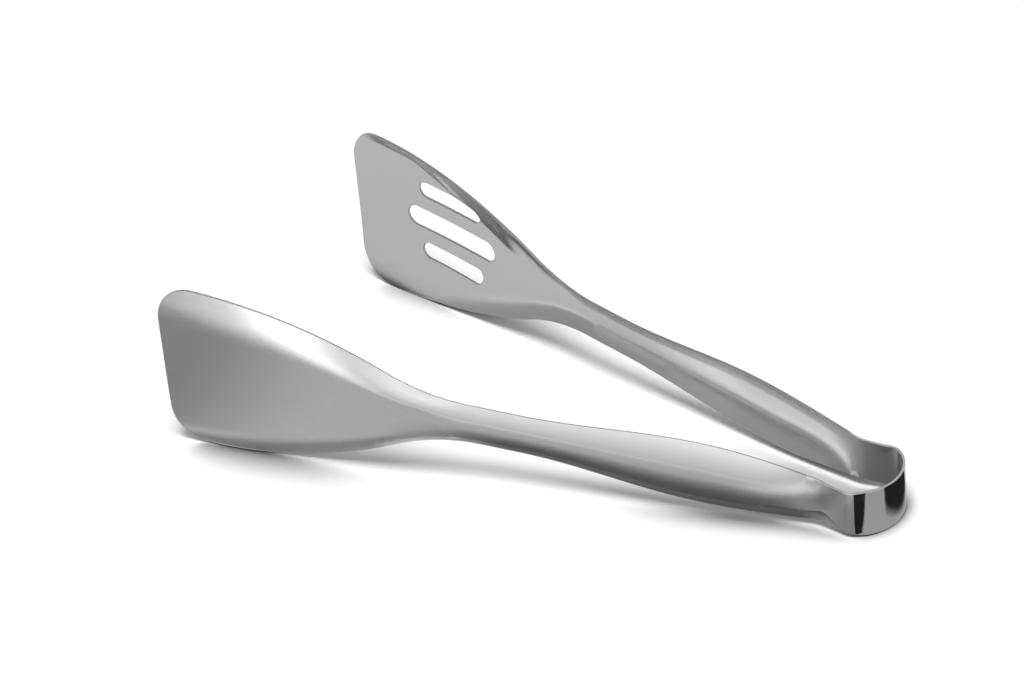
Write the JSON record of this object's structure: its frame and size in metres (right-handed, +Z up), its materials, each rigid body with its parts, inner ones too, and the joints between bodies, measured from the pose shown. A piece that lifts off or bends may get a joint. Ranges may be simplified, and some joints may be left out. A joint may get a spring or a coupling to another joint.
{
  "type": "spring tongs",
  "caption": "Spring tongs of pressed stainless sheet: a solid and a slotted spatula blade on channel handles, joined by a bow of flat spring strip.",
  "frame": {"origin": "middle of the footprint, on the table that the tongs lie on", "axes": "+X from the bow towards the blade ends, +Y towards the solid blade, +Z up from the table"},
  "size_m": [0.2942, 0.1326, 0.072],
  "materials": {
    "arm_steel": "fine satin",
    "bow_steel": "polished"
  },
  "bodies": {
    "bow": {"spring_bow": "bow_steel"},
    "solid_arm": {"solid_blade_arm": "arm_steel"},
    "slotted_arm": {"slotted_blade_arm": "arm_steel"}
  },
  "joints": [
    {"name": "solid_arm_flex", "type": "hinge", "parent": "bow", "child": "solid_arm", "pos_m": [-0.13722, 0.011, 0.01085], "axis": [0.0944, 0, -0.9955], "range_deg": [0, 12.7], "stiffness_Nm_per_rad": 8, "deforming": ["spring_bow"]},
    {"name": "slotted_arm_flex", "type": "hinge", "parent": "bow", "child": "slotted_arm", "pos_m": [-0.13722, -0.011, 0.01085], "axis": [-0.0944, 0, 0.9955], "range_deg": [0, 12.7], "stiffness_Nm_per_rad": 8, "deforming": ["spring_bow"]}
  ]
}
